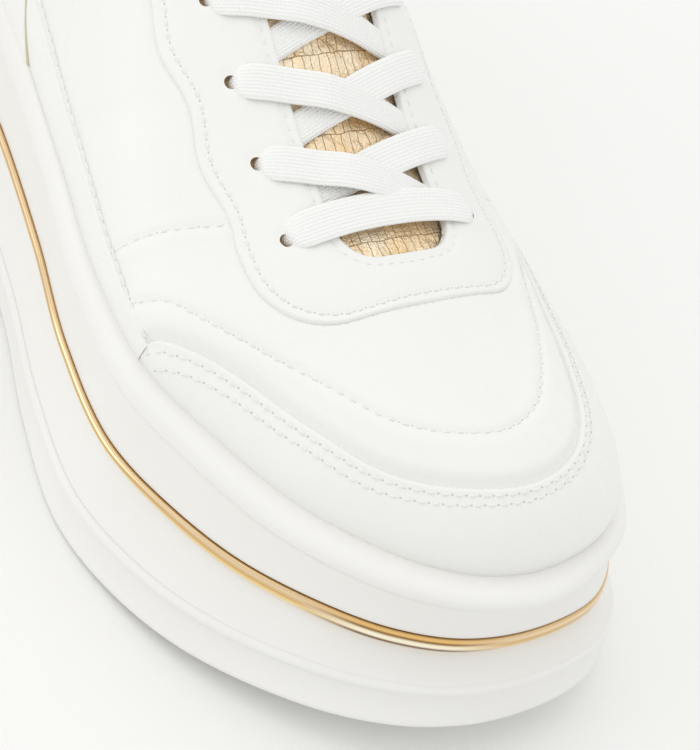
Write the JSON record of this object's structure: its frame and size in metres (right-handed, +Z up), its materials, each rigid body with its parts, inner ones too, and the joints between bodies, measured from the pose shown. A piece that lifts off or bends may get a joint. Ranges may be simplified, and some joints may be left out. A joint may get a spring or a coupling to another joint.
{
  "type": "platform sneaker",
  "caption": "Low lace-up sneaker on a tall wedge platform sole, with a hollow lasted upper, raised lace facing, toe guard, padded metallic tongue, flat crossed laces and a polished trim line round the sole",
  "frame": {"origin": "middle of the bounding box in plan, on the floor plane that the sole stands on", "axes": "+X runs from the heel to the toe, +Z up, -Y to the outer side of the foot"},
  "size_m": [0.2804, 0.1078, 0.1245],
  "materials": {
    "white_rubber": "smooth white moulded sole compound, satin",
    "gold_trim": "half-round strip with a polished gold film",
    "white_leather": "smooth finished white leather, fine grain, soft sheen",
    "gold_leather": "metallic champagne gold, embossed with reptile scales",
    "cotton": "flat woven lace with fine lengthwise ribs",
    "lining": "off-white lining and sock"
  },
  "bodies": {
    "root": {"outsole": "white_rubber", "midsole": "white_rubber", "trim_strip": "gold_trim", "sole_lip": "white_rubber", "insole": "lining", "upper": "white_leather", "eyestay": "white_leather", "toe_guard": "white_leather", "tongue": "gold_leather", "lace_bar": "cotton", "lace_crossing_1": "cotton", "lace_crossing_2": "cotton", "lace_crossing_3": "cotton", "lace_crossing_4": "cotton", "lace_crossing_5": "cotton"}
  },
  "joints": []
}
